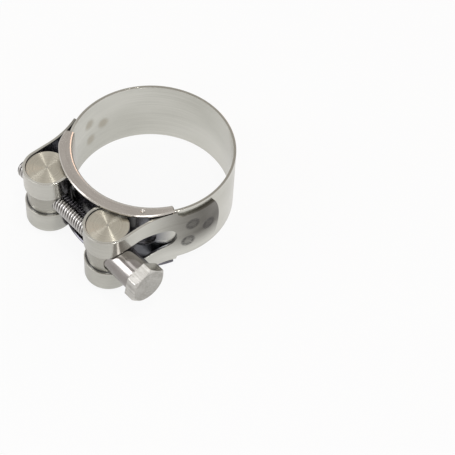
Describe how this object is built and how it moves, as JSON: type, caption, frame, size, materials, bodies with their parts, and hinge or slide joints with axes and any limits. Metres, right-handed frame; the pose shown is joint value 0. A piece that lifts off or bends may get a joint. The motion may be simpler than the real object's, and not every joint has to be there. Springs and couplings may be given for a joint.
{
  "type": "heavy-duty hose clamp",
  "caption": "Heavy-duty single-bolt hose clamp: a wide slotted steel strip bent to a ring and looped round two barrels, closed by a hex bolt over a curved channel bridge.",
  "frame": {"origin": "centre of the ring, on the axis of the hose and at the middle of the band's width", "axes": "+Z along the hose's axis, the bolt runs along X on the -Y side with its head towards +X"},
  "size_m": [0.059, 0.0612, 0.025],
  "materials": {
    "strip": "cold-rolled stainless strip, fine lengthwise grain",
    "bridge": "satin pressed stainless sheet with bright folds",
    "barrel": "turned stainless bar with fine rings on its ends",
    "sleeve": "polished stainless tube",
    "bolt": "bright stainless bolt with a machined head"
  },
  "bodies": {
    "ring": {"band": "strip", "bridge": "bridge", "nut_barrel": "barrel", "head_barrel": "barrel"},
    "sleeve": {"spacer_sleeve": "sleeve"},
    "screw": {"bolt": "bolt"}
  },
  "joints": [
    {"name": "bolt_travel", "type": "slide", "parent": "ring", "child": "sleeve", "axis": [1, 0, 0], "range_m": [0, 0.014]},
    {"name": "bolt_turn", "type": "hinge", "parent": "sleeve", "child": "screw", "pos_m": [0, -0.02856, 0], "axis": [1, 0, 0], "range_deg": [0, 5040]}
  ],
  "couplings": [
    {"joint": "bolt_turn", "follows": "bolt_travel", "rad_per_m": 6283.2}
  ]
}
